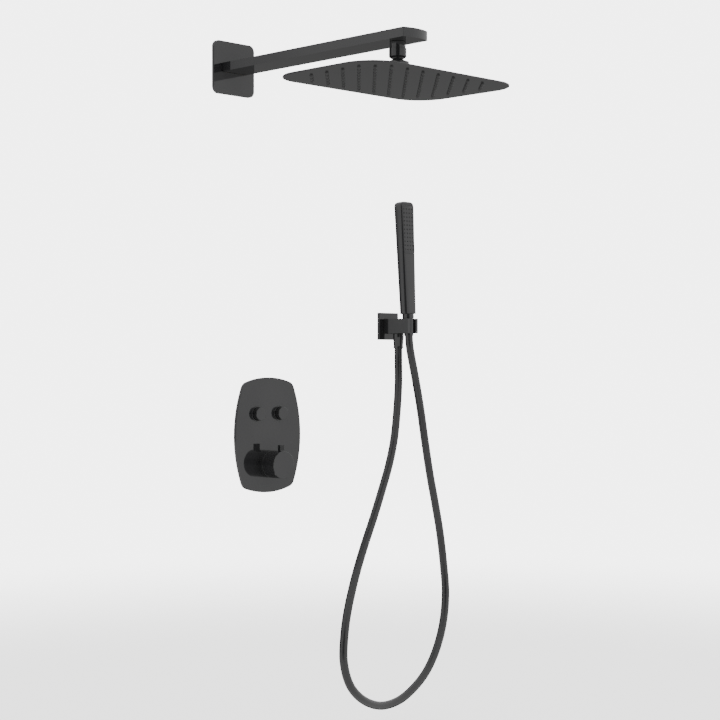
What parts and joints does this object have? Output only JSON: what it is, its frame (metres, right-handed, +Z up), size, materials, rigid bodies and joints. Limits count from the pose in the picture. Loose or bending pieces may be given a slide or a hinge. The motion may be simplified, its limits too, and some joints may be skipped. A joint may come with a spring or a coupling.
{
  "type": "concealed rain shower set",
  "caption": "Wall-fixed shower set: flat arm with a tilting rain head, hand shower with hose on a wall outlet, and a thermostatic valve plate with push buttons.",
  "frame": {"origin": "centre of the shower arm's threaded wall stub, where it passes the face of the wall", "axes": "+X along the wall to the user's right, +Y into the wall, +Z up"},
  "size_m": [0.5666, 0.4745, 1.0343],
  "materials": {
    "black_metal": "smooth black coating with a low gloss",
    "black_plastic": "moulded black, satin",
    "nozzle_rubber": "black silicone nozzles",
    "seal_rubber": "black sealing rubber",
    "hose_skin": "smooth black flexible skin",
    "brass": "cast and machined brass",
    "steel": "stainless steel",
    "grey_plastic": "filled engineering plastic",
    "white_plastic": "moulded bearing plastic"
  },
  "bodies": {
    "wall_parts": {"arm_flange": "black_metal", "arm_base": "brass", "arm_bar": "black_metal", "arm_outlet_nipple": "brass", "inlet_filter": "steel", "ball_stud": "black_metal", "valve_plate": "black_metal", "valve_gasket": "seal_rubber", "valve_body": "brass", "thermostat_cartridge": "grey_plastic", "cartridge_nut": "brass", "knob_sleeve": "black_metal", "outlet_plate": "black_metal", "outlet_stub": "brass", "holder_block": "black_metal", "outlet_spigot": "brass", "check_valve_cage": "white_plastic", "outlet_hose_nut": "black_metal", "hose": "hose_skin", "button_cartridge_left": "grey_plastic", "button_ring_left": "black_metal", "button_cartridge_right": "grey_plastic", "button_ring_right": "black_metal"},
    "swivel_seat": {"ball_seat_lower": "white_plastic"},
    "tilt_ring": {"ball_seat_upper": "seal_rubber"},
    "rain_head": {"swivel_collar": "black_metal", "head_boss": "brass", "head_back": "black_metal", "head_gasket": "seal_rubber", "head_nozzles": "nozzle_rubber", "head_face": "black_metal"},
    "knob": {"temperature_knob": "black_metal", "temperature_spindle": "brass", "knob_screw": "steel"},
    "stop_button": {"stop_button": "black_plastic"},
    "thermostat_piston": {"thermostat_piston": "steel"},
    "button_left": {"button_left": "black_metal", "button_stem_left": "steel", "button_spring_left": "steel"},
    "button_right": {"button_right": "black_metal", "button_stem_right": "steel", "button_spring_right": "steel"},
    "check_poppet": {"check_valve_poppet": "seal_rubber"},
    "hose_nut": {"handset_hose_nut": "black_metal", "hose_washer": "seal_rubber"},
    "handset": {"handset_body": "black_plastic", "handset_face": "black_plastic", "handset_nozzles": "nozzle_rubber", "handset_inlet": "brass"}
  },
  "joints": [
    {"name": "head_spin", "type": "hinge", "parent": "wall_parts", "child": "swivel_seat", "pos_m": [0, -0.348, -0.038], "axis": [0, 0, 1], "continuous": true},
    {"name": "head_tilt_side", "type": "hinge", "parent": "swivel_seat", "child": "tilt_ring", "pos_m": [0, -0.348, -0.038], "axis": [0, 1, 0], "range_deg": [-10, 10]},
    {"name": "head_tilt_front", "type": "hinge", "parent": "tilt_ring", "child": "rain_head", "pos_m": [0, -0.348, -0.038], "axis": [1, 0, 0], "range_deg": [-10, 10]},
    {"name": "knob_turn", "type": "hinge", "parent": "wall_parts", "child": "knob", "pos_m": [0.07, -0.02, -0.603], "axis": [0, -1, 0], "range_deg": [-180, 60]},
    {"name": "stop_push", "type": "slide", "parent": "knob", "child": "stop_button", "axis": [0, 0, -1], "range_m": [0, 0.0015], "stiffness_N_per_m": 500, "springref_m": -0.002},
    {"name": "thermostat_slide", "type": "slide", "parent": "wall_parts", "child": "thermostat_piston", "axis": [0, 1, 0], "range_m": [-0.001, 0.0025]},
    {"name": "button_left_push", "type": "slide", "parent": "wall_parts", "child": "button_left", "axis": [0, 1, 0], "range_m": [0, 0.004], "stiffness_N_per_m": 400, "springref_m": -0.008, "deforming": ["button_spring_left"]},
    {"name": "button_right_push", "type": "slide", "parent": "wall_parts", "child": "button_right", "axis": [0, 1, 0], "range_m": [0, 0.004], "stiffness_N_per_m": 400, "springref_m": -0.008, "deforming": ["button_spring_right"]},
    {"name": "check_valve_open", "type": "slide", "parent": "wall_parts", "child": "check_poppet", "axis": [0, 0, -1], "range_m": [0, 0.0025], "stiffness_N_per_m": 60, "springref_m": -0.004},
    {"name": "handset_lift", "type": "slide", "parent": "wall_parts", "child": "hose_nut", "axis": [0, 0.0523, 0.9986], "range_m": [0, 0.12]},
    {"name": "handset_turn", "type": "hinge", "parent": "hose_nut", "child": "handset", "pos_m": [0.338, -0.05, -0.386], "axis": [0, 0.0523, 0.9986], "range_deg": [-90, 90]}
  ],
  "couplings": [
    {"joint": "thermostat_slide", "follows": "knob_turn", "m_per_rad": -0.0006}
  ]
}
